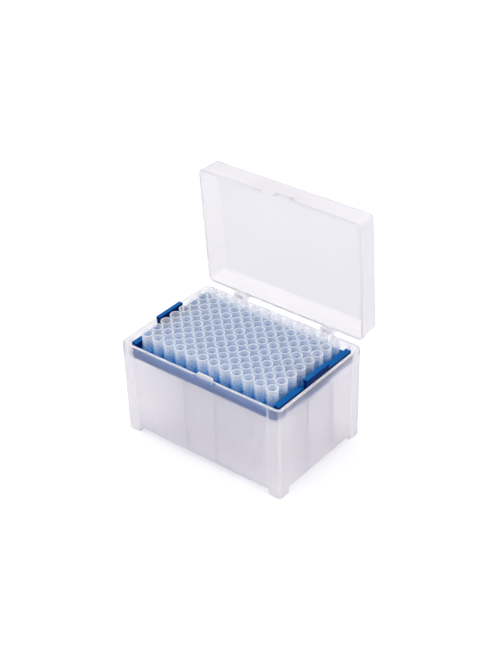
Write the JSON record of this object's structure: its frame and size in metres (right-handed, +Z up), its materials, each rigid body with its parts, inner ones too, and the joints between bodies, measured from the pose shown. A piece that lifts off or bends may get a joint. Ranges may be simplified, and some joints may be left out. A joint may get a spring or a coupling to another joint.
{
  "type": "box of pipette tips",
  "caption": "Rectangular frosted box on four feet with a hinged lid standing open and a lift-out rack holding rows of ribbed pipette tips.",
  "frame": {"origin": "on the table under the feet, in the middle of the whole object with its lid open", "axes": "+Z up, +X along the hinge line to the right, +Y from the catches at the front to the hinges at the back"},
  "size_m": [0.1266, 0.1038, 0.1575],
  "materials": {
    "frosted_base": "frosted translucent",
    "frosted_lid": "frosted translucent",
    "rack_blue": "satin",
    "tip_clear": "clear, slightly milky"
  },
  "bodies": {
    "box": {"base": "frosted_base", "insert": "rack_blue", "tips_01_front": "tip_clear", "tips_01_back": "tip_clear", "tips_02_front": "tip_clear", "tips_02_back": "tip_clear", "tips_03_front": "tip_clear", "tips_03_back": "tip_clear", "tips_04_front": "tip_clear", "tips_04_back": "tip_clear", "tips_05_front": "tip_clear", "tips_05_back": "tip_clear", "tips_06_front": "tip_clear", "tips_06_back": "tip_clear", "tips_07_front": "tip_clear", "tips_07_back": "tip_clear", "tips_08_front": "tip_clear", "tips_08_back": "tip_clear", "tips_09_front": "tip_clear", "tips_09_back": "tip_clear", "tips_10_front": "tip_clear", "tips_10_back": "tip_clear", "tips_11_front": "tip_clear", "tips_11_back": "tip_clear", "tips_12_front": "tip_clear", "tips_12_back": "tip_clear"},
    "lid": {"lid": "frosted_lid"}
  },
  "joints": [
    {"name": "lid_hinge", "type": "hinge", "parent": "box", "child": "lid", "pos_m": [0, 0.03644, 0.068], "axis": [1, 0, 0], "range_deg": [0, 86]}
  ]
}
